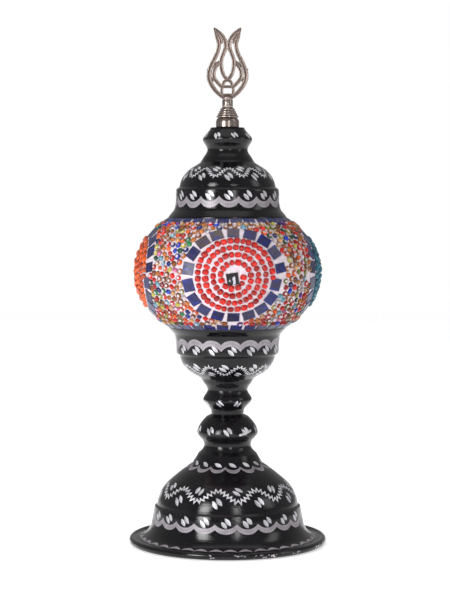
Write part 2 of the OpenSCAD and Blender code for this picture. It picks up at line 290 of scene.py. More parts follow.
class SpunFace:
    # the outside of a spun shell as one line from low to high, read off its CAD node
    def __init__(self, node, lowest, highest, widest):
        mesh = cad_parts[node].data
        found = {}
        for polygon in mesh.polygons:
            if polygon.normal.x < 0.04:
                continue
            for index in polygon.vertices:
                p = mesh.vertices[index].co / mm
                if abs(p.y) < 0.001 and 0 < p.x < widest and lowest < p.z < highest:
                    found[round(p.z, 2)] = max(p.x, found.get(round(p.z, 2), 0))
        self.z = np.array(sorted(found))
        self.r = np.array([found[k] for k in sorted(found)])
        self.s = np.concatenate([[0], np.cumsum(np.hypot(np.diff(self.r), np.diff(self.z)))])

    def along(self, height):
        return float(np.interp(height, self.z, self.s))

    def spot(self, azimuth, s, lift):
        # a point over the face: azimuth in radians, s millimetres up the line
        r, z = np.interp(s, self.s, self.r), np.interp(s, self.s, self.z)
        dr = np.interp(s + 0.8, self.s, self.r) - np.interp(s - 0.8, self.s, self.r)
        dz = np.interp(s + 0.8, self.s, self.z) - np.interp(s - 0.8, self.s, self.z)
        size = math.hypot(dr, dz) or 1.0
        r, z = r + lift * dz / size, z - lift * dr / size
        return (r * math.cos(azimuth), r * math.sin(azimuth), z)

    def radius(self, s):
        return float(np.interp(s, self.s, self.r))


class Engraver:
    # cuts on one shell, gathered by finish
    def __init__(self, face):
        self.face = face
        self.bright = Shape()
        self.satin = Shape()

    def leaf(self, degrees, s, length, width, lean, sideways=0.0):
        # one pointed cut with a ridge, turned by lean degrees from upright
        rows, across = 11, (-1.0, -0.5, 0.0, 0.5, 1.0)
        turn = math.radians(lean)
        # each cut's painted glint: a random brightness for how its facets catch the light
        paintedGlint = dice.uniform(0.72, 1.0)
        points, tints = [], []
        for i in range(rows):
            t = i / (rows - 1)
            half = width / 2 * max(0.03, math.sin(math.pi * t) ** 0.75)
            for a in across:
                x, y = a * half, (t - 0.5) * length
                px = x * math.cos(turn) + y * math.sin(turn) + sideways
                py = y * math.cos(turn) - x * math.sin(turn)
                rise = cutLook["ridge"] - cutLook["lift"]
                lift = cutLook["lift"] + rise * (1 - abs(a)) * half / width * 2
                azimuth = math.radians(degrees - 90) + px / self.face.radius(s + py)
                points.append(self.face.spot(azimuth, s + py, lift))
                # painted shade on the facets: the left side darker, and the edges and the ridge line
                # darker still
                shade = paintedGlint * (1.0 if a > -0.3 else 0.68) * (0.6 if abs(a) == 1.0 else 1.0)
                shade = shade * (0.66 if a == 0.0 else 1.0)
                tints.append((shade, shade, shade))
        self.bright.add(points, sheetFaces(rows, len(across)), tints)

    def pair(self, degrees, height, length, width, lean, gap=0.35):
        # two leaf cuts side by side
        s = self.face.along(height)
        step = (width + gap) / 2
        turn = math.radians(lean)
        for side in (-1, 1):
            shift = dice.uniform(-0.25, 0.25)
            s2 = s - side * step * math.sin(turn) + shift
            self.leaf(degrees, s2, length * dice.uniform(0.92, 1.05), width * dice.uniform(0.92, 1.06),
                      lean + dice.uniform(-4, 4), side * step * math.cos(turn))

    def swags(self, count, first, tip, mid, inner, belly, hang=1):
        # a band of scallops: heights of the cusps' tips and of the band's two edges between them;
        # hang 1 sags between upward cusps, and -1 arches between downward ones
        rows, columns = 5, 30
        points, tints = [], []
        total = count * columns
        for k in range(total):
            t = (k % columns) / columns
            dip = 1 - abs(2 * t - 1) ** 2.3
            degrees = first + 360 * k / total
            wobble = 0.25 * math.sin(k / columns * 2.7)
            near = self.face.along(tip) - (self.face.along(tip) - self.face.along(mid)) * dip
            far = self.face.along(inner) - (self.face.along(inner) - self.face.along(belly)) * dip
            hatch = 0.7 if k % 2 else 1.0
            hatch = hatch * (1 + 0.10 * math.sin(k * 1.7))
            for j in range(rows):
                share = j / (rows - 1)
                s = near + (far - near) * share + wobble * hang
                lift = cutLook["lift"] + 0.05 * math.sin(math.pi * share)
                points.append(self.face.spot(math.radians(degrees - 90), s, lift))
                shade = hatch * (0.84, 1.05, 0.78, 1.05, 0.85)[j]
                tints.append((shade, shade, shade))
        self.satin.add(points, sheetFaces(total, rows, closeRows=True), tints)

    def zigzag(self, waves, crestAt, crest, trough, tooth, swing, width):
        # a saw-toothed stroke that runs round in waves between two heights
        top, low = self.face.along(crest), self.face.along(trough)
        middle, swell = (top + low) / 2, (top - low) / 2
        reach = self.face.radius(middle)
        length = 0.0
        line = []
        fine = 4000
        for k in range(fine):
            a = 2 * math.pi * k / fine
            y = swell * math.cos(waves * a)
            slope = -swell * waves * math.sin(waves * a) / reach
            length += math.hypot(1, slope) * 2 * math.pi * reach / fine
            line.append((a, y, slope, length))
        teeth = int(length / tooth) * 2
        marks = [p[3] for p in line]
        spine = []
        for k in range(teeth):
            at = int(np.searchsorted(marks, length * k / teeth)) % fine
            a, y, slope = line[at][:3]
            size = math.hypot(1, slope)
            push = swing * (1 if k % 2 else -1) * dice.uniform(0.8, 1.2)
            spine.append(np.array([a * reach - push * slope / size, y + push / size]))
        whole = 2 * math.pi * reach
        points, tints = [], []
        for k in range(teeth):
            before, here, after = spine[k - 1], spine[k], spine[(k + 1) % teeth]
            if k == 0:
                before = before - np.array([whole, 0])
            if k == teeth - 1:
                after = after + np.array([whole, 0])
            one, two = here - before, after - here
            one, two = one / np.linalg.norm(one), two / np.linalg.norm(two)
            out = np.array([-(one + two)[1], (one + two)[0]])
            out = out / (np.linalg.norm(out) or 1)
            mitre = min(1.9, 1 / max(0.3, abs(float(np.dot(out, [-one[1], one[0]])))))
            for side, lift in ((-1, cutLook["lift"]), (0, 0.13), (1, cutLook["lift"])):
                x, y = here + out * side * width / 2 * mitre
                azimuth = math.radians(crestAt - 90) + x / reach
                points.append(self.face.spot(azimuth, middle + y, lift))
                # painted shade: across the stroke the ridge is lightest and one side darker, and every
                # other tooth is darker as it faces another way
                shade = (0.72, 1.0, 0.86)[side + 1] * (0.92 if k % 2 else 0.72)
                tints.append((shade, shade, shade))
        self.bright.add(points, sheetFaces(teeth, 3, closeRows=True), tints)

    def arches(self, count, first, height, rise, width):
        # a row of separate flat arches
        s = self.face.along(height)
        for k in range(count):
            middle = first + 360 * k / count + dice.uniform(-0.6, 0.6)
            span = math.radians(360 / count) * 0.92
            points, tints = [], []
            for i in range(13):
                t = i / 12
                y = rise * (math.sin(math.pi * t) ** 0.7 - 0.5)
                thick = width * (0.35 + 0.65 * math.sin(math.pi * t))
                for side in (-1, 0, 1):
                    azimuth = math.radians(middle - 90) + (t - 0.5) * span
                    points.append(self.face.spot(azimuth, s + y + side * thick / 2,
                                                 cutLook["lift"] + (0.05 if side == 0 else 0)))
                    # painted shade across each arch: the middle line lighter and the edges darker; every
                    # other step along it is 0.85 as dark
                    shade = (0.8, 1.0, 0.9)[side + 1] * (0.85 if i % 2 else 1.0)
                    tints.append((shade, shade, shade))
            self.satin.add(points, sheetFaces(13, 3), tints)

    def build(self, name, body):
        self.bright.build(name + "_bright_cuts", brightCut, body, "black_enamel", smooth=False)
        self.satin.build(name + "_satin_cuts", satinCut, body, "black_enamel")


capBands = {"turn": 1.5, "swags": 17, "waves": 10, "crest": 330.2, "trough": 323.0}


def engraveCap():
    cuts = Engraver(SpunFace("top_cap", 287.5, 365.5, 60))
    turn, count, waves = capBands["turn"], capBands["swags"], capBands["waves"]
    cuts.swags(count, turn - 180 / count, 306.3, 301.6, 300.6, 296.2)
    for k in range(count):
        cuts.pair(turn + 360 / count * k, 306.9, 7.6, 3.4, -42)
    cuts.zigzag(waves, turn, capBands["crest"], capBands["trough"], 2.7, 1.3, 0.95)
    for k in range(waves):
        cuts.pair(turn + 36 * k, 323.0, 7.4, 3.2, -38)
        cuts.pair(turn + 18 + 36 * k, 329.6, 7.0, 3.0, -56)
    for k in range(8):
        cuts.pair(18 + 45 * k, 359.0, 6.6, 2.8, (-24, -30, 20)[k % 3])
    cuts.build("cap", "cap")


galleryBands = {"turn": 3.7, "swags": 17, "waves": 9, "crest": 159.0, "trough": 151.6}


def engraveGallery():
    cuts = Engraver(SpunFace("gallery_cup", 115.8, 190.5, 60))
    count, waves = galleryBands["swags"], galleryBands["waves"]
    cuts.swags(count, galleryBands["turn"] - 180 / count, 172.7, 177.4, 178.8, 182.6, hang=-1)
    for k in range(count):
        cuts.pair(5.4 + 360 / count * k, 173.2, 7.2, 3.5, -44)
    cuts.zigzag(waves, 15.5, galleryBands["crest"], galleryBands["trough"], 2.9, 1.35, 1.0)
    for k in range(waves):
        cuts.pair(-4.5 + 40 * k, 157.6, 8.2, 3.6, -50)
        cuts.pair(15.5 + 40 * k, 152.0, 7.0, 2.6, -62)
    for k in range(8):
        cuts.pair(-19.5 + 45 * k, 124.4, 6.6, 2.8, (-34, 18, -26)[k % 3])
    cuts.build("gallery", "stand")


baseBands = {"rimArches": 38, "turn": -1.2, "swags": 22, "waveTurn": -8.7, "waves": 10,
             "crest": 53.8, "trough": 45.0}


def engraveBase():
    cuts = Engraver(SpunFace("base_shell", 5.6, 113.0, 80))
    cuts.arches(baseBands["rimArches"], 2, 6.3, 2.4, 3.0)
    count, waves = baseBands["swags"], baseBands["waves"]
    step = 360 / count
    cuts.swags(count, baseBands["turn"] - step / 2, 27.2, 23.0, 22.6, 18.6)
    for k in range(count):
        cuts.pair(baseBands["turn"] + step * k, 28.0, 7.8, 3.8, -38)
    cuts.zigzag(waves, baseBands["waveTurn"], baseBands["crest"], baseBands["trough"], 3.8, 1.75, 1.4)
    for k in range(waves):
        cuts.pair(baseBands["waveTurn"] + 36 * k, 44.0, 8.6, 3.9, -34)
        cuts.pair(9.3 + 36 * k, 53.2, 8.0, 3.6, (-52, 18)[k % 2])
    cuts.swags(15, -3.4, 71.4, 68.9, 69.6, 66.4)
    for k in range(15):
        s = cuts.face.along(72.4)
        cuts.leaf(8.6 + 24 * k, s, 7.6, 3.6, -58 + dice.uniform(-6, 6))
    for k in range(10):
        cuts.pair(0.7 + 36 * k, 101.4, 7.4, 3.3, (-36, -30, 12, -28)[k % 4])
    for k in range(8):               # a scuff through the enamel on the neck
        cuts.leaf(25 + 3.4 * k, cuts.face.along(98.4 + 0.4 * k), 3.6, 2.3, 72 + dice.uniform(-14, 14))
    cuts.build("base", "stand")


rimWire = {
    "reach": 84.2,
    "height": 3.4,
    "radius": 3.04,
    "knocks": ((-10, 7), (7, 5), (43, 8), (70, 6), (-66, 5), (-128, 6), (120, 5), (168, 6)),
}


def chipRim():
    # knocks along the rolled rim down to bare metal, in clusters: degrees round and how many
    shape = Shape()
    for middle, count in rimWire["knocks"]:
        for k in range(count):
            azimuth = math.radians(middle - 90 + dice.normal(0, 2.0))
            swing = math.radians(dice.uniform(-42, 28))
            wide, tall = dice.uniform(0.5, 1.5), dice.uniform(0.3, 0.8)
            points = []
            for i in range(7):
                turn = 2 * math.pi * i / 7
                size = dice.uniform(0.6, 1.1)
                a = azimuth + wide * size * math.cos(turn) / rimWire["reach"]
                b = swing + tall * size * math.sin(turn) / rimWire["radius"]
                r = rimWire["reach"] + rimWire["radius"] * math.cos(b)
                points.append((r * math.cos(a), r * math.sin(a),
                               rimWire["height"] + rimWire["radius"] * math.sin(b)))
            shape.add(points, [tuple(range(7))], (dice.uniform(0.6, 1.0),) * 3)
    shape.build("rim_chips", satinCut, "stand", "black_enamel")


engraveCap()
engraveGallery()
engraveBase()
chipRim()
print("engraving done")


# The mosaic: medallions, the beads between them, tiles and grout.
globe = {
    "a": 80.7,                       # radius of the grout's face at the equator
    "b": 61.7,                       # its half height
    "middle": 239.5,                 # height of the equator
    "front": math.radians(-87),      # azimuth of the front medallion
    "drop": -2.5,                    # the medallions' centres, over the equator
}
ring = {
    "count": 18,                     # tiles round a medallion
    "mean": 39.8,                    # their distance from its middle, halfway round
    "wind": 5.0,                     # how far the ring winds inwards in one turn
    "shift": 1.3,                    # of the middle, right and up
    "tile": 10.0,
}
spiral = {
    "start": 34.2,                   # the outermost bead's distance from the middle
    "pitch": 6.65,                   # from one turn to the next
    "shift": 1.3,
    "least": 7.4,                    # the innermost bead's distance
}


def latitude(v):
    # the ellipse's angle at a distance v along its face from the equator, nearly
    a, b = globe["a"], globe["b"]
    x = v / b
    return x - (a * a - b * b) / 6 / (b * b) * x ** 3


class Spot:
    # a place on the mosaic, u millimetres along the parallel and v up from the equator
    def __init__(self, azimuth, v, u=0.0):
        a, b = globe["a"], globe["b"]
        e = latitude(v)
        self.r = a * math.cos(e)
        turn = azimuth + u / self.r
        tilt = math.atan2(a * math.sin(e), b * math.cos(e))
        side = np.array([math.cos(turn), math.sin(turn), 0.0])
        self.up = np.array([0.0, 0.0, 1.0])
        self.out = side * math.cos(tilt) + self.up * math.sin(tilt)
        self.east = np.array([-math.sin(turn), math.cos(turn), 0.0])
        self.north = np.cross(self.out, self.east)
        self.at = side * self.r + self.up * (globe["middle"] + b * math.sin(e))


beadColours = {
    "red": tone(230, 24, 2), "deepRed": tone(190, 14, 2), "orange": tone(236, 92, 6),
    "amber": tone(196, 112, 36), "brown": tone(146, 80, 34), "topaz": tone(212, 160, 108),
    "navy": tone(24, 32, 112), "blue": tone(26, 60, 196), "sky": tone(120, 176, 198),
    "green": tone(34, 132, 70), "darkGreen": tone(24, 74, 50), "olive": tone(146, 146, 52),
    "yellow": tone(196, 184, 74), "purple": tone(110, 30, 150), "pink": tone(226, 120, 168),
    "clear": tone(206, 196, 200), "turquoise": tone(20, 132, 158), "emerald": tone(20, 132, 66),
    "deepOrange": tone(204, 68, 8), "teal": tone(16, 92, 122), "forest": tone(14, 88, 44),
}
mixture = [("amber", 15), ("brown", 12), ("topaz", 11), ("red", 13), ("deepRed", 9), ("orange", 11),
           ("navy", 5), ("blue", 4), ("sky", 5), ("green", 5), ("darkGreen", 3.5), ("olive", 5),
           ("yellow", 4), ("purple", 1.2), ("pink", 1.6), ("clear", 4)]
groutTone = tone(226, 216, 222)


# A bead's colour carries painted shade, darker towards the grout and in its hole, and a painted glow on
# the side where the light would come through it.
beadLook = {
    "around": 12,
    "rounding": 0.36,                # of its radius, at its ends' edges
    "askew": 0.12,
    "outOfRound": 0.07,
    "level": (0.66, 1.1),
    # the next two: the darkest level of the painted shade, and the strength of the painted glow
    "paintedShadow": 0.24,
    "paintedGlow": 0.85,
}


def addBead(shape, spot, axis, colour, radius, half, lift, hole=0.62, plug=True):
    # a pressed glass bead: axis is the direction of its hole
    around = beadLook["around"]
    axis = axis / np.linalg.norm(axis)
    side = spot.out if abs(float(np.dot(axis, spot.out))) < 0.6 else spot.east
    first = side - axis * float(np.dot(side, axis))
    first = first / np.linalg.norm(first)
    second = np.cross(axis, first)
    centre = spot.at + spot.out * lift
    soft = min(0.85, radius * beadLook["rounding"])
    profile = [(-half + 0.3, hole), (-half, hole + 0.38), (-half + soft * 0.18, radius - soft),
               (-half + soft, radius - soft * 0.2), (-half * 0.3, radius), (half * 0.3, radius),
               (half - soft, radius - soft * 0.2), (half - soft * 0.18, radius - soft),
               (half, hole + 0.38), (half - 0.3, hole)]
    slant = dice.uniform(-beadLook["askew"], beadLook["askew"])
    oval = dice.uniform(1 - beadLook["outOfRound"], 1 + beadLook["outOfRound"])
    # the painted glow falls to the lower right, away from a light at the upper left
    paintedGlow = spot.east * 0.55 - spot.north * 0.62 + spot.out * 0.35
    level = dice.uniform(*beadLook["level"])
    standing = float(np.dot(axis, spot.out)) > 0.7
    points, tints = [], []
    for k in range(around):
        turn = 2 * math.pi * k / around
        wave = 1 + 0.03 * math.sin(3 * turn + slant * 40)
        spoke = first * math.cos(turn) * oval + second * math.sin(turn) / oval
        for index, (x, r) in enumerate(profile):
            offset = axis * (x + slant * r * math.cos(turn)) + spoke * r * wave
            points.append(centre + offset)
            heading = offset / (np.linalg.norm(offset) or 1)
            lit = max(0.0, float(np.dot(heading, paintedGlow)))
            # painted shade: darker towards the grout, and darker again inside the hole
            depth = max(0.0, min(1.0, 0.5 + float(np.dot(offset, spot.out)) / radius * 0.55))
            shade = level * (beadLook["paintedShadow"] + 0.5 * depth ** 1.5 + beadLook["paintedGlow"] * lit * lit)
            inner = index in (0, 9)
            if inner and standing and plug:
                tints.append(tuple(c * 0.9 for c in groutTone))
            else:
                shade = shade * (0.4 if inner else 1.0)
                tints.append(tuple(min(1.0, c * shade + 0.02 * lit) for c in colour))
    shape.add(points, sheetFaces(around, len(profile), closeRows=True), tints)
    if standing and plug:
        top = centre + axis * (half - 0.45)
        disc = [top + first * math.cos(2 * math.pi * k / 8) * (hole + 0.1)
                + second * math.sin(2 * math.pi * k / 8) * (hole + 0.1) for k in range(8)]
        shape.add(disc, [tuple(range(8))], groutTone)


def beadPaint(name):
    paint = Paint(name, Coat_Weight=0.25, Coat_Roughness=0.02, IOR=1.36)
    swirl = paint.fade(paint.noise(420, 3), 0.35, 0.72)
    colour = paint.mix(swirl * 0.35, paint.tint(), tone(60, 30, 24), "MULTIPLY")
    return paint.finish(Base_Color=colour, Roughness=0.08 + swirl * 0.1,
                        Normal=paint.bump(paint.noise(700, 2), 0.00004))


beadGlass = beadPaint("pressed bead glass")


def layMedallion(name, quarter, colourNames):
    # beads lying end to end along a spiral that winds in to the middle tile
    shape = Shape()
    azimuth = globe["front"] + math.pi / 2 * quarter
    angle = math.radians(-5)
    while True:
        turns = angle / (2 * math.pi)
        reach = spiral["start"] - spiral["pitch"] * turns
        if reach < spiral["least"]:
            break
        long = dice.uniform(1.85, 2.75)
        angle += (long + 0.35) / max(reach, 4)
        u = spiral["shift"] + reach * math.cos(angle) + dice.uniform(-0.22, 0.22)
        v = spiral["shift"] + reach * math.sin(angle) + dice.uniform(-0.22, 0.22)
        spot = Spot(azimuth, globe["drop"] + v, u)
        skew = angle + math.pi / 2 + dice.uniform(-0.3, 0.3)
        axis = spot.east * math.cos(skew) + spot.north * math.sin(skew)
        pick = colourNames[0] if dice.random() < 0.72 else colourNames[1]
        addBead(shape, spot, axis, beadColours[pick], dice.uniform(2.3, 2.95), long,
                dice.uniform(-0.45, -0.15))
        angle += (long + 0.35) / max(reach, 4)
    shape.build(name, beadGlass, "globe", "grout")


layMedallion("medallion_beads_front", 0, ("red", "deepRed"))
layMedallion("medallion_beads_right", 1, ("turquoise", "teal"))
layMedallion("medallion_beads_back", 2, ("emerald", "forest"))
layMedallion("medallion_beads_left", 3, ("orange", "deepOrange"))


ground = {
    "count": 760,
    "gap": 5.6,                      # beads nearer than this push each other away
    "rounds": 110,
    "bottom": -49.7,                 # between the two border rings
    "top": 51.4,
    "clear": 2.6,                    # from the edge of a medallion's tiles
    "standing": 0.55,                # the share that stand on end and show their holes
    "plugged": 0.75,                 # the share of those with grout in the hole
}


def settleBeads(count, gap, rounds):
    # spreads beads evenly over the ground between the medallions and the border rings
    a, b = globe["a"], globe["b"]
    table = np.linspace(-62, 62, 400)
    eccentric = np.array([latitude(v) for v in table])
    bottom, top = ground["bottom"], ground["top"]
    azimuth = dice.uniform(0, 2 * math.pi, count * 3)
    v = dice.uniform(bottom, top, count * 3)
    centres = [globe["front"] + math.pi / 2 * q for q in range(4)]
    margin = ring["tile"] / 2 + ground["clear"]

    def outside(azimuth, v, push):
        # finds the beads that stand on a medallion, and moves them out to its edge
        clear = np.ones(len(v), bool)
        for centre in centres:
            r = a * np.cos(np.interp(v, table, eccentric))
            u = r * ((azimuth - centre + math.pi) % (2 * math.pi) - math.pi)
            x, y = u - ring["shift"], v - globe["drop"] - ring["shift"]
            angle = np.arctan2(y, x) % (2 * math.pi)
            need = ring["mean"] + ring["wind"] * (0.5 - angle / (2 * math.pi)) + margin
            far = np.hypot(x, y)
            inside = far < need
            clear &= ~inside
            if push:
                scale = np.where(inside, need / np.maximum(far, 1), 1)
                v = np.where(inside, y * scale + globe["drop"] + ring["shift"], v)
                azimuth = np.where(inside, centre + (x * scale + ring["shift"]) / r, azimuth)
        return azimuth, v, clear

    clear = outside(azimuth, v, False)[2]
    azimuth, v = azimuth[clear][:count], v[clear][:count]
    for k in range(rounds):
        e = np.interp(v, table, eccentric)
        points = np.stack([a * np.cos(e) * np.cos(azimuth), a * np.cos(e) * np.sin(azimuth),
                           b * np.sin(e)], 1)
        away = points[:, None, :] - points[None, :, :]
        far = np.linalg.norm(away, axis=2) + np.eye(len(v)) * 99
        force = np.clip(gap - far, 0, None) / far * 0.45
        points = points + (away * force[:, :, None]).sum(1)
        azimuth = np.arctan2(points[:, 1], points[:, 0])
        e = np.arctan2(points[:, 2] / b, np.hypot(points[:, 0], points[:, 1]) / a)
        v = np.clip(np.interp(e, eccentric, table), bottom, top)
        azimuth, v, clear = outside(azimuth, v, True)
    return azimuth, v


def layGround():
    names = [name for name, share in mixture]
    shares = np.array([share for name, share in mixture], float)
    picks = shares / shares.sum()
    azimuth, v = settleBeads(ground["count"], ground["gap"], ground["rounds"])
    parts = {"front": Shape(), "right": Shape(), "back": Shape(), "left": Shape()}
    for a, height in zip(azimuth, v):
        spot = Spot(float(a), float(height))
        quarter = int(((a + math.pi / 4 + math.pi / 2) % (2 * math.pi)) / (math.pi / 2))
        shape = list(parts.values())[quarter]
        colour = beadColours[names[int(dice.choice(len(names), p=picks))]]
        turn = dice.uniform(0, math.pi)
        flat = spot.east * math.cos(turn) + spot.north * math.sin(turn)
        if dice.random() < ground["standing"]:
            lean = dice.uniform(0, 0.25)
            addBead(shape, spot, spot.out + flat * lean, colour, dice.uniform(2.3, 2.8), 1.45,
                    dice.uniform(0.0, 0.25), dice.uniform(0.95, 1.25), dice.random() < ground["plugged"])
        else:
            addBead(shape, spot, flat, colour, dice.uniform(2.0, 2.4), dice.uniform(2.0, 2.7),
                    dice.uniform(-0.45, -0.15))
    for name, shape in parts.items():
        shape.build("ground_beads_" + name, beadGlass, "globe", "grout")


layGround()
print("beads done")


# Hand-cut tiles, no two quite alike and a little askew, take the place of the even CAD ones.
tileLook = {
    "colours": [tone(30, 34, 84), tone(40, 42, 84), tone(22, 28, 92),
                tone(50, 48, 84), tone(34, 34, 68)],
    "gold": tone(120, 104, 74),      # shows through the front ring's top tiles
    "goldOnes": (4, 5, 6),
}
borderRings = {
    "count": 30,
    "wide": 9.8,
    "upper": (57.4, 5.6),            # height of the middle over the equator, and of a tile
    "lower": (-56.0, 7.6),
}


def addTile(shape, spot, turn, wide, tall, colour, loose=1.0):
    turn = turn + dice.uniform(-0.05, 0.05) * loose
    across = spot.east * math.cos(turn) + spot.north * math.sin(turn)
    upward = np.cross(spot.out, across)
    tiltX, tiltY = dice.uniform(-0.028, 0.028, 2) * loose
    out = spot.out + across * tiltX + upward * tiltY
    out = out / np.linalg.norm(out)
    across = np.cross(upward, out)
    across = across / np.linalg.norm(across)
    upward = np.cross(out, across)
    corners = []
    for sx, sy in ((-1, -1), (1, -1), (1, 1), (-1, 1)):
        corners.append((sx * wide / 2 + dice.uniform(-0.25, 0.25) * loose,
                        sy * tall / 2 + dice.uniform(-0.25, 0.25) * loose))
    points, tints = [], []
    layers = ((0.0, -1.5), (0.0, 0.36), (0.10, 0.52), (0.34, 0.62))
    shade = [dice.uniform(0.8, 1.15) for c in corners]
    for shrink, height in layers:
        for (x, y), level in zip(corners, shade):
            kx, ky = 1 - 2 * shrink / wide, 1 - 2 * shrink / tall
            points.append(spot.at + across * x * kx + upward * y * ky + out * height)
            # painted shade: the tile's sides are coloured 0.7 as dark as its top
            tints.append(tuple(c * level * (0.7 if height < 0.5 else 1.0) for c in colour))
    faces = sheetFaces(len(layers), 4, closeColumns=True)
    faces.append((12, 13, 14, 15))
    shape.add(points, faces, tints)


def tilePaint(name, streakColour):
    paint = Paint(name, Coat_Weight=0.15, Coat_Roughness=0.06, IOR=1.38)
    streaks = paint.fade(paint.noise(1.0, 4, paint.stretch((160, 160, 520))), 0.5, 0.72)
    mottle = paint.fade(paint.noise(240, 4), 0.35, 0.75)
    scratches = paint.fade(paint.noise(1.0, 2, paint.stretch((2400, 2400, 160))), 0.66, 0.72)
    colour = paint.mix(streaks * 0.7, paint.tint(), streakColour)
    colour = paint.mix(mottle * 0.55, colour, tone(46, 38, 52))
    colour = paint.mix(scratches * 0.15, colour, tone(150, 148, 170))
    return paint.finish(Base_Color=colour, Metallic=streaks * 0.2, Roughness=0.2 + mottle * 0.2,
                        Normal=paint.bump(paint.noise(90, 2), 0.0004))


blueTile = tilePaint("dark blue mirrored tile", tone(34, 58, 168))


def layTiles():
    sides = ("front", "right", "back", "left")
    for quarter, side in enumerate(sides):
        shape = Shape()
        for k in range(ring["count"]):
            angle = 2 * math.pi / ring["count"] * (k + 0.5)
            d = ring["mean"] + ring["wind"] * (0.5 - k / ring["count"])
            spot = Spot(globe["front"] + math.pi / 2 * quarter,
                        globe["drop"] + ring["shift"] + d * math.sin(angle),
                        ring["shift"] + d * math.cos(angle))
            colour = tileLook["colours"][int(dice.integers(5))]
            if k in tileLook["goldOnes"] and quarter == 0:
                colour = tuple(0.5 * c + 0.5 * g for c, g in zip(colour, tileLook["gold"]))
            wide = 8.4 if k == 0 else ring["tile"] * dice.uniform(1.01, 1.09)
            tall = ring["tile"] * dice.uniform(0.96, 1.0)
            addTile(shape, spot, angle - math.pi / 2, wide, tall, colour)
        shape.build("tiles_" + side, blueTile, "globe", "tile_blue", ("medallion_tiles_" + side,),
                    smooth=False)
    for name in ("upper", "lower"):
        v, tall = borderRings[name]
        shape = Shape()
        for k in range(borderRings["count"]):
            spot = Spot(math.radians(12 * k + 2 + dice.uniform(-0.5, 0.5)), v)
            addTile(shape, spot, 0, borderRings["wide"] * dice.uniform(0.95, 1.04), tall,
                    tileLook["colours"][int(dice.integers(5))], 0.6)
        shape.build("tiles_" + name, blueTile, "globe", "tile_blue", (name + "_tile_ring",),
                    smooth=False)


layTiles()

darkMirror = Paint("dark mirror tile", IOR=1.42)
cloudy = darkMirror.fade(darkMirror.noise(120, 4), 0.42, 0.7)
# pale streaks on the dark mirror tile: painted highlights, which also pass as flaws in its silvering
paintedGlintsAndFlaws = darkMirror.fade(darkMirror.noise(1.0, 3, darkMirror.stretch((330, 330, 160))), 0.57, 0.61)
mirrorShade = darkMirror.mix(cloudy, tone(3, 3, 5), tone(26, 24, 30))
darkMirror.finish(Base_Color=darkMirror.mix(paintedGlintsAndFlaws, mirrorShade, tone(190, 188, 200)),
                  Roughness=0.03 + cloudy * 0.08,
                  Normal=darkMirror.bump(darkMirror.noise(260, 2), 0.0002))
dress(darkMirror, "centre_tiles")

grout = Paint("pale grout")
grain = grout.noise(1500, 4)
lumps = grout.noise(260, 3)
stain = grout.fade(grout.noise(70, 4), 0.4, 0.75)
groutShade = grout.mix(grout.fade(lumps, 0.3, 0.7), tone(202, 188, 198), tone(230, 219, 226))
groutShade = grout.mix(stain * 0.35, groutShade, tone(186, 176, 184))
grout.finish(Base_Color=groutShade, Roughness=0.72 + grain * 0.2,
             Normal=grout.bump(grain, 0.00012, grout.bump(lumps, 0.0005)))
dress(grout, "mosaic_grout")
print("tiles and grout done")


# The finial: a turned ferrule and a cast tulip.
finialLook = {
    "high": tone(164, 151, 145),
    "recess": tone(82, 69, 64),
    "base": 383.4,
    "deep": 2.1,                     # half the tulip's thickness
}


def nickelPaint(name, tinted):
    paint = Paint(name, Metallic=1.0)
    stain = paint.fade(paint.noise(90, 4), 0.42, 0.8)
    pits = paint.noise(1100, 3)
    raised = paint.tint("Fac") if tinted else 0.75
    colour = paint.mix(raised, finialLook["recess"], finialLook["high"])
    colour = paint.mix(stain * 0.3, colour, tone(158, 136, 124))
    roughness = 0.2 + stain * 0.16 + (1 - paint.tint("Fac")) * 0.25 if tinted else 0.22 + stain * 0.1
    return paint.finish(Base_Color=colour, Roughness=roughness,
                        Normal=paint.bump(pits, 0.00006, paint.bump(stain, 0.0001)))


# one strand's section: across, depth, and how raised and so how bright it is
strandSection = [(-1.0, 0.0, 0.5), (-0.96, 0.6, 0.8), (-0.74, 1.0, 1.0), (-0.46, 0.72, 0.25),
                 (0.0, 0.6, 0.05),
                 (0.46, 0.72, 0.25), (0.74, 1.0, 1.0), (0.96, 0.6, 0.8), (1.0, 0.0, 0.5)]
strandSection += [(a, -d, t) for a, d, t in strandSection[-2:0:-1]]


def addStrand(shape, points, halves, mirror=False, deep=1.0):
    # a cast strand with two raised edges and a sunk middle; halves are its half widths on the way
    line = smoothLine(points, 5)
    sign = -1 if mirror else 1
    count = len(line)
    verts, tints = [], []
    for i, p in enumerate(line):
        ahead = line[min(count - 1, i + 1)] - line[max(0, i - 1)]
        ahead = ahead / np.linalg.norm(ahead)
        half = float(np.interp(i / (count - 1), np.linspace(0, 1, len(halves)), halves))
        for across, depth, raised in strandSection:
            x = p[0] - ahead[1] * across * half
            z = p[1] + ahead[0] * across * half
            verts.append((sign * x, -depth * finialLook["deep"] * deep, finialLook["base"] + z))
            tints.append((raised, raised, raised))
    n = len(strandSection)
    faces = sheetFaces(count, n, closeColumns=True)
    faces.append(tuple(range(n)))
    faces.append(tuple((count - 1) * n + k for k in range(n)))
    shape.add(verts, faces, tints)


def addTurned(shape, profile, around, tint, base):
    # a turned piece from its line of radius and height
    points = []
    for k in range(around):
        a = 2 * math.pi * k / around
        points += [(r * math.cos(a), r * math.sin(a), base + h) for r, h in profile]
    shape.add(points, sheetFaces(around, len(profile), closeRows=True), tint)


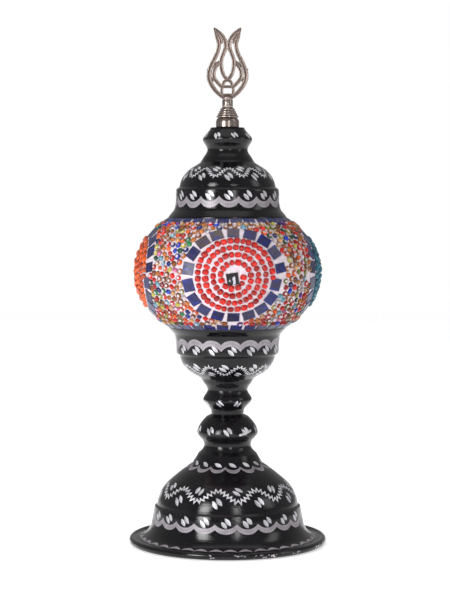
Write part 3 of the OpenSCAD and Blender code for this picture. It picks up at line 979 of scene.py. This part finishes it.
def castTulip():
    shape = Shape()
    # the left half's strands, by their middle lines; the right half mirrors them
    outer = [(-11.7, 69.4), (-9.5, 62.2), (-7.8, 57), (-7.5, 53.5), (-8.8, 48), (-11.1, 43),
             (-13.7, 37.5), (-15.7, 32), (-16.2, 27), (-15, 22), (-12, 16.8), (-8.5, 12.8), (-4.2, 9.2)]
    inner = [(-11.4, 69.2), (-6.9, 65.3), (-3.4, 61), (-1.7, 56.8), (-1.6, 52.5), (-3.4, 47.5),
             (-5.2, 42.5), (-5.5, 37), (-4.6, 31.5), (-2.6, 27), (0, 24.4)]
    scroll = [(-7.6, 38.2), (-10.5, 34.5), (-12, 30), (-11.6, 26), (-9.3, 22.5), (-6.3, 19.3),
              (-4.0, 17.2)]
    for mirror in (False, True):
        addStrand(shape, outer, (0.6, 1.7, 1.8, 1.75, 1.8, 2.0, 2.1, 2.1, 2.0, 1.85, 1.7), mirror)
        addStrand(shape, inner, (0.6, 1.6, 1.8, 1.9, 1.75, 1.7, 1.75, 1.7, 1.6), mirror, 0.97)
        addStrand(shape, [(-11.0, 67.4), (-8.6, 63), (-6.4, 58.8), (-5.2, 55.6)], (0.6, 2.0, 2.4, 1.2),
                  mirror, 0.6)
        addStrand(shape, scroll, (1.3, 1.6, 1.7, 1.7, 1.65, 1.5), mirror, 0.92)
        addStrand(shape, [(-15.9, 33.6), (-17.3, 33.3), (-18.2, 33.1)], (1.2, 0.8, 0.3), mirror, 0.7)
        addStrand(shape, [(-12.9, 35.6), (-9.6, 38.2), (-6.0, 40.4)], (1.7, 1.5, 1.4), mirror, 0.85)
        addStrand(shape, [(-14.4, 24.6), (-12.2, 24.4), (-10.4, 23.6)], (1.9, 1.7, 1.4), mirror, 0.8)
        addStrand(shape, [(-4.9, 17.8), (-5.0, 14.6), (-4.8, 11.4)], (1.35, 1.3, 1.35), mirror, 0.95)
    arch = [(3.9 * math.cos(math.radians(a)), 19.4 + 4.6 * math.sin(math.radians(a)))
            for a in range(190, -11, -25)]
    addStrand(shape, arch, (1.35, 1.5, 1.35), False, 0.94)
    addStrand(shape, [(-5.4, 18.1), (0, 18.3), (5.4, 18.1)], (1.25, 1.35, 1.25), False, 0.97)
    addStrand(shape, [(-5.8, 10.9), (0, 10.7), (5.8, 10.9)], (1.4, 1.75, 1.4), False, 1.0)
    addTurned(shape, [(2.0, -5.5), (2.0, 0.05), (4.5, 0.05), (4.65, 0.3), (4.65, 6.4), (4.3, 6.8),
                      (4.3, 7.2), (4.65, 7.6), (4.55, 8.8), (3.9, 9.8), (2.2, 10.5), (0.0, 10.8)],
              40, (0.8, 0.8, 0.8), finialLook["base"])
    shape.build("tulip", nickelPaint("warm cast nickel", True), "tulip", "nickel", ("finial_tulip",))


castTulip()
dress(nickelPaint("warm polished nickel", False), "finial_ferrule")
print("finial done")


# Fittings inside and underneath.
def plainPaint(name, dark, light, rough, grain, metal=0.0, relief=0.00008, stretch=None, **fixed):
    # a plain finish with its own grain: two shades, uneven gloss and a fine relief
    paint = Paint(name, Metallic=metal, **fixed)
    where = paint.stretch(stretch) if stretch else paint.place
    coarse = paint.fade(paint.noise(grain * 0.25, 4, where), 0.35, 0.7)
    fine = paint.noise(grain, 4, where)
    return paint.finish(Base_Color=paint.mix(coarse, dark, light), Roughness=rough + coarse * 0.14,
                        Normal=paint.bump(fine, relief))


dress(plainPaint("green felt", tone(18, 44, 32), tone(34, 70, 50), 0.86, 1800, relief=0.0004,
                 Sheen_Weight=0.5), "felt_pad")
dress(plainPaint("pressed board", tone(104, 76, 48), tone(146, 112, 74), 0.6, 900), "base_board")
dress(plainPaint("pale felt ring", tone(170, 162, 148), tone(212, 206, 194), 0.88, 1800, relief=0.0003,
                 Sheen_Weight=0.4), "gallery_gasket", "cap_gasket")
dress(plainPaint("black rubber", tone(14, 14, 15), tone(30, 30, 32), 0.5, 1200), "cord_grommet")
dress(plainPaint("zinc-plated steel", tone(150, 146, 134), tone(198, 194, 180), 0.26, 700, 1.0,
                 stretch=(1, 1, 4)), "threaded_tube", "base_washer", "base_nut", "gallery_washer",
      "gallery_nut", "holder_locknut", "finial_stud", "stud_washer", "stud_nut")
dress(plainPaint("white nylon", tone(206, 204, 196), tone(230, 228, 222), 0.38, 500), "tube_bushing")
dress(plainPaint("black moulded plastic", tone(12, 12, 13), tone(24, 24, 26), 0.24, 1400),
      "holder_dome", "holder_skirt")
dress(plainPaint("white ceramic", tone(214, 210, 200), tone(236, 233, 226), 0.22, 600, Coat_Weight=0.5),
      "terminal_block")
dress(plainPaint("nickelled brass", tone(158, 128, 76), tone(206, 182, 132), 0.2, 800, 1.0),
      "terminal_screws", "screw_shell", "centre_contact", "bulb_cap", "bulb_tip")
dress(plainPaint("black glass insulator", tone(8, 8, 12), tone(22, 22, 28), 0.1, 500, Coat_Weight=0.8),
      "bulb_insulator")
dress(plainPaint("drawn wire", tone(58, 56, 58), tone(112, 110, 112), 0.35, 2400, 1.0), "bulb_filament")


def glassPaint(name, colour, rough):
    paint = Paint(name, Transmission_Weight=1.0, IOR=1.45)
    seeds = paint.fade(paint.noise(300, 3), 0.62, 0.7)
    return paint.finish(Base_Color=paint.mix(seeds * 0.3, colour, tone(210, 216, 216)),
                        Roughness=rough + seeds * 0.1, Normal=paint.bump(paint.noise(40, 2), 0.0004))


dress(glassPaint("clear lamp glass", tone(248, 248, 246), 0.02), "bulb_glass", "bulb_stem")
dress(glassPaint("clear blown glass", tone(236, 243, 242), 0.05), "globe_glass")
print("fittings done")


# Floor, light and camera.
studio = {
    "floor": tone(246, 246, 246),
    "floorGlow": 0.6,                # keeps the floor as pale as the backdrop
    "floorReach": 3.2,
    "floorDrop": 0.0004,             # the floor lies just under the felt
    "backdrop": 1.0,                 # what the camera sees behind the lamp
    "ambient": 0.34,                 # what lights it and shows in its gloss
}


def layFloor():
    mesh = bpy.data.meshes.new("floor")
    reach, drop = studio["floorReach"], studio["floorDrop"]
    rim = [(reach * math.cos(math.radians(a)), reach * math.sin(math.radians(a)), -drop)
           for a in range(0, 360, 5)]
    mesh.from_pydata(rim, [], [tuple(range(len(rim)))])
    paint = Paint("pale floor")
    mottle = paint.noise(6, 3)
    paint.finish(Base_Color=paint.mix(mottle, studio["floor"], tone(242, 242, 243)),
                 Roughness=0.6 + mottle * 0.1, Emission_Color=studio["floor"],
                 Emission_Strength=studio["floorGlow"])
    mesh.materials.append(paint.material)
    floor = bpy.data.objects.new("floor", mesh)
    bpy.context.scene.collection.objects.link(floor)


def hangSoftbox(name, degrees, elevation, distance, wide, tall, radiance, aim=0.22):
    # degrees to the right of the camera's line, seen from the lamp
    lamp = bpy.data.lights.new(name, "AREA")
    lamp.shape = "RECTANGLE"
    lamp.size, lamp.size_y = wide, tall
    lamp.energy = radiance * math.pi * wide * tall
    turn, rise = math.radians(degrees - 90), math.radians(elevation)
    obj = bpy.data.objects.new(name, lamp)
    out = distance * math.cos(rise)
    obj.location = (out * math.cos(turn), out * math.sin(turn), aim + distance * math.sin(rise))
    obj.rotation_euler = (Vector((0, 0, aim)) - obj.location).to_track_quat("-Z", "Y").to_euler()
    bpy.context.scene.collection.objects.link(obj)


layFloor()
hangSoftbox("key softbox", -38, 15, 1.7, 0.46, 0.86, 15.0)
hangSoftbox("strip softbox", 15, 13, 1.75, 0.12, 0.85, 14.0)
hangSoftbox("fill softbox", 75, 24, 1.9, 0.5, 0.9, 2.2)
hangSoftbox("back softbox", 180, 62, 1.9, 0.9, 0.7, 2.4)

overhead = bpy.data.lights.new("overhead light", "SUN")
overhead.energy = 0.4
overhead.angle = math.radians(50)
overheadLight = bpy.data.objects.new("overhead light", overhead)
overheadLight.location = (0.0, 0.0, 2.5)
bpy.context.scene.collection.objects.link(overheadLight)

world = bpy.data.worlds.new("studio")
bpy.context.scene.world = world
world.use_nodes = True
room = Bench(world.node_tree)
sky = world.node_tree.nodes["Background"]
ray = room.node("ShaderNodeLightPath", out="Is Camera Ray")
room.plug(sky.inputs["Strength"],
          room.node("ShaderNodeMapRange", None,
                    {"Value": ray, "To Min": studio["ambient"], "To Max": studio["backdrop"]}))
room.plug(sky.inputs["Color"], (1.0, 1.0, 1.0))

view = {"distance": 1.584, "height": 0.305, "down": 3.258, "lens": 108.1, "shift": -0.0042}
lens = bpy.data.cameras.new("camera")
lens.lens = view["lens"]
lens.sensor_width = 36.0
lens.shift_x = view["shift"]
lens.clip_start = 0.05
camera = bpy.data.objects.new("camera", lens)
camera.location = (0.0, -view["distance"], view["height"])
camera.rotation_euler = (math.radians(90 - view["down"]), 0.0, 0.0)
bpy.context.scene.collection.objects.link(camera)
bpy.context.scene.camera = camera
bpy.context.scene.view_settings.view_transform = "Standard"
print("studio done")
